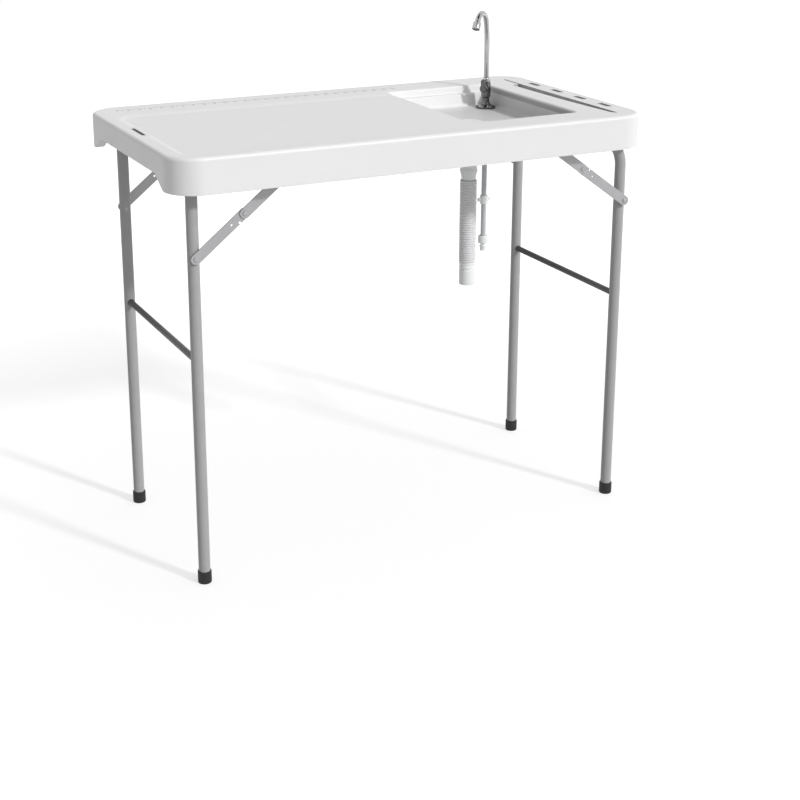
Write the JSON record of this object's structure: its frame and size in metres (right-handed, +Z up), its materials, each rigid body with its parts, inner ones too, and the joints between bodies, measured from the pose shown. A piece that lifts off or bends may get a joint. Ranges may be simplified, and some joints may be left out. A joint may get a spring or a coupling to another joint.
{
  "type": "folding fish cleaning table with sink",
  "caption": "White folding fish cleaning table with a recessed work surface, sink basin, gooseneck faucet, drain hose and braced steel legs that fold under the top.",
  "frame": {"origin": "on the floor, under the middle of the table top", "axes": "+X along the table toward the sink end, +Y from the front edge to the back edge, +Z up"},
  "size_m": [1.115, 0.6, 1.136],
  "materials": {
    "top_plastic": "fine moulded texture, satin white polyethylene",
    "leg_steel": "satin grey powder coat",
    "zinc_steel": "bright zinc plate",
    "cap_rubber": "matt black rubber",
    "faucet_chrome": "polished chrome",
    "fitting_plastic": "smooth white moulding",
    "drain_hose_plastic": "ribbed grey hose, slightly translucent",
    "supply_hose_plastic": "smooth pale grey hose"
  },
  "bodies": {
    "table": {"table_top": "top_plastic", "front_side_rail": "zinc_steel", "back_side_rail": "zinc_steel", "front_rail_clip_1": "zinc_steel", "front_rail_clip_2": "zinc_steel", "front_rail_clip_3": "zinc_steel", "front_rail_clip_4": "zinc_steel", "back_rail_clip_1": "zinc_steel", "back_rail_clip_2": "zinc_steel", "back_rail_clip_3": "zinc_steel", "back_rail_clip_4": "zinc_steel", "left_front_rail_pin": "zinc_steel", "left_back_rail_pin": "zinc_steel", "right_front_rail_pin": "zinc_steel", "right_back_rail_pin": "zinc_steel", "drain_strainer": "fitting_plastic", "drain_locknut": "fitting_plastic", "drain_tailpiece": "fitting_plastic", "drain_hose": "drain_hose_plastic", "drain_hose_cuff": "fitting_plastic", "faucet_gasket": "cap_rubber", "faucet_flange": "faucet_chrome", "faucet_body": "faucet_chrome", "faucet_wing_nut": "fitting_plastic", "supply_hose_upper": "supply_hose_plastic", "supply_coupling": "fitting_plastic", "supply_hose_lower": "supply_hose_plastic", "hose_connector": "fitting_plastic", "connector_nipple": "fitting_plastic"},
    "left_leg_frame": {"left_axle": "zinc_steel", "left_crossbar": "leg_steel", "left_front_leg": "leg_steel", "left_back_leg": "leg_steel", "left_front_foot_cap": "cap_rubber", "left_back_foot_cap": "cap_rubber", "left_front_leg_rivet": "zinc_steel", "left_back_leg_rivet": "zinc_steel"},
    "right_leg_frame": {"right_axle": "zinc_steel", "right_crossbar": "leg_steel", "right_front_leg": "leg_steel", "right_back_leg": "leg_steel", "right_front_foot_cap": "cap_rubber", "right_back_foot_cap": "cap_rubber", "right_front_leg_rivet": "zinc_steel", "right_back_leg_rivet": "zinc_steel"},
    "left_front_upper_brace": {"left_front_upper_link": "zinc_steel", "left_front_knee_rivet": "zinc_steel"},
    "left_back_upper_brace": {"left_back_upper_link": "zinc_steel", "left_back_knee_rivet": "zinc_steel"},
    "right_front_upper_brace": {"right_front_upper_link": "zinc_steel", "right_front_knee_rivet": "zinc_steel"},
    "right_back_upper_brace": {"right_back_upper_link": "zinc_steel", "right_back_knee_rivet": "zinc_steel"},
    "left_front_lower_brace": {"left_front_lower_link": "zinc_steel"},
    "left_back_lower_brace": {"left_back_lower_link": "zinc_steel"},
    "right_front_lower_brace": {"right_front_lower_link": "zinc_steel"},
    "right_back_lower_brace": {"right_back_lower_link": "zinc_steel"},
    "spout": {"faucet_spout": "faucet_chrome", "faucet_aerator": "faucet_chrome"},
    "lever": {"faucet_lever": "faucet_chrome"}
  },
  "joints": [
    {"name": "left_frame_fold", "type": "hinge", "parent": "table", "child": "left_leg_frame", "pos_m": [-0.498, 0, 0.903], "axis": [0, -1, 0], "range_deg": [0, 90]},
    {"name": "right_frame_fold", "type": "hinge", "parent": "table", "child": "right_leg_frame", "pos_m": [0.507, 0, 0.903], "axis": [0, 1, 0], "range_deg": [0, 90], "deforming": ["drain_hose"]},
    {"name": "left_front_upper_brace_turn", "type": "hinge", "parent": "table", "child": "left_front_upper_brace", "pos_m": [-0.301, -0.249, 0.884], "axis": [0, -1, 0], "range_deg": [0, 151]},
    {"name": "left_back_upper_brace_turn", "type": "hinge", "parent": "table", "child": "left_back_upper_brace", "pos_m": [-0.301, 0.249, 0.884], "axis": [0, -1, 0], "range_deg": [0, 151]},
    {"name": "right_front_upper_brace_turn", "type": "hinge", "parent": "table", "child": "right_front_upper_brace", "pos_m": [0.317, -0.249, 0.895], "axis": [0, 1, 0], "range_deg": [0, 141]},
    {"name": "right_back_upper_brace_turn", "type": "hinge", "parent": "table", "child": "right_back_upper_brace", "pos_m": [0.317, 0.249, 0.895], "axis": [0, 1, 0], "range_deg": [0, 141]},
    {"name": "left_front_lower_brace_turn", "type": "hinge", "parent": "left_leg_frame", "child": "left_front_lower_brace", "pos_m": [-0.498, -0.2455, 0.726], "axis": [0, -1, 0], "range_deg": [-130, 0]},
    {"name": "left_back_lower_brace_turn", "type": "hinge", "parent": "left_leg_frame", "child": "left_back_lower_brace", "pos_m": [-0.498, 0.2455, 0.726], "axis": [0, -1, 0], "range_deg": [-130, 0]},
    {"name": "right_front_lower_brace_turn", "type": "hinge", "parent": "right_leg_frame", "child": "right_front_lower_brace", "pos_m": [0.536, -0.2455, 0.736], "axis": [0, 1, 0], "range_deg": [-122, 0]},
    {"name": "right_back_lower_brace_turn", "type": "hinge", "parent": "right_leg_frame", "child": "right_back_lower_brace", "pos_m": [0.536, 0.2455, 0.736], "axis": [0, 1, 0], "range_deg": [-122, 0]},
    {"name": "spout_swivel", "type": "hinge", "parent": "table", "child": "spout", "pos_m": [0.393, 0.148, 0.96], "axis": [0, 0, 1], "continuous": true},
    {"name": "lever_turn", "type": "hinge", "parent": "table", "child": "lever", "pos_m": [0.393, 0.148, 0.945], "axis": [-0.788, -0.6157, 0], "range_deg": [0, 90]}
  ],
  "couplings": [
    {"joint": "left_front_upper_brace_turn", "follows": "left_frame_fold", "ratio": 1.6654},
    {"joint": "left_back_upper_brace_turn", "follows": "left_frame_fold", "ratio": 1.6654},
    {"joint": "right_front_upper_brace_turn", "follows": "right_frame_fold", "ratio": 1.5576},
    {"joint": "right_back_upper_brace_turn", "follows": "right_frame_fold", "ratio": 1.5576},
    {"joint": "left_front_lower_brace_turn", "follows": "left_frame_fold", "ratio": -1.4373},
    {"joint": "left_back_lower_brace_turn", "follows": "left_frame_fold", "ratio": -1.4373},
    {"joint": "right_front_lower_brace_turn", "follows": "right_frame_fold", "ratio": -1.3446},
    {"joint": "right_back_lower_brace_turn", "follows": "right_frame_fold", "ratio": -1.3446}
  ]
}
